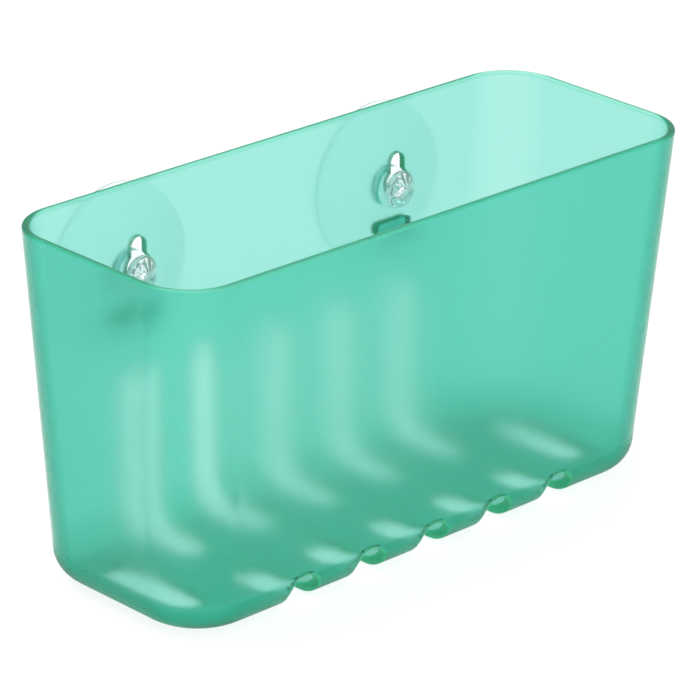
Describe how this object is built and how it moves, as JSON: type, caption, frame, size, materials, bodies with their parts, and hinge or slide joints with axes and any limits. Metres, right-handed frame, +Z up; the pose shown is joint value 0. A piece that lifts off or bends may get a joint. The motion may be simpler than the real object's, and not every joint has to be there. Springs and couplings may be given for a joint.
{
  "type": "bathroom storage basket",
  "caption": "Tapered open-top bathroom basket of translucent plastic with drain slots, hung on a wall by clear suction cups that slide in keyholes.",
  "frame": {"origin": "on the surface the tub stands on, below the middle of the whole object's box, suction cups included", "axes": "+X along the rim's length, to the right seen from the front; +Y towards the wall it hangs on; +Z up"},
  "size_m": [0.225, 0.094, 0.118],
  "materials": {
    "tinted_plastic": "glossy translucent turquoise-green",
    "clear_plastic": "glossy clear soft plastic"
  },
  "bodies": {
    "basket": {"basket": "tinted_plastic"},
    "left_cup": {"suction_cup_left": "clear_plastic"},
    "right_cup": {"suction_cup_right": "clear_plastic"}
  },
  "joints": [
    {"name": "left_cup_slide", "type": "slide", "parent": "basket", "child": "left_cup", "axis": [0, 0.0339, 0.9994], "range_m": [0, 0.0092]},
    {"name": "right_cup_slide", "type": "slide", "parent": "basket", "child": "right_cup", "axis": [0, 0.0339, 0.9994], "range_m": [0, 0.0092]}
  ]
}
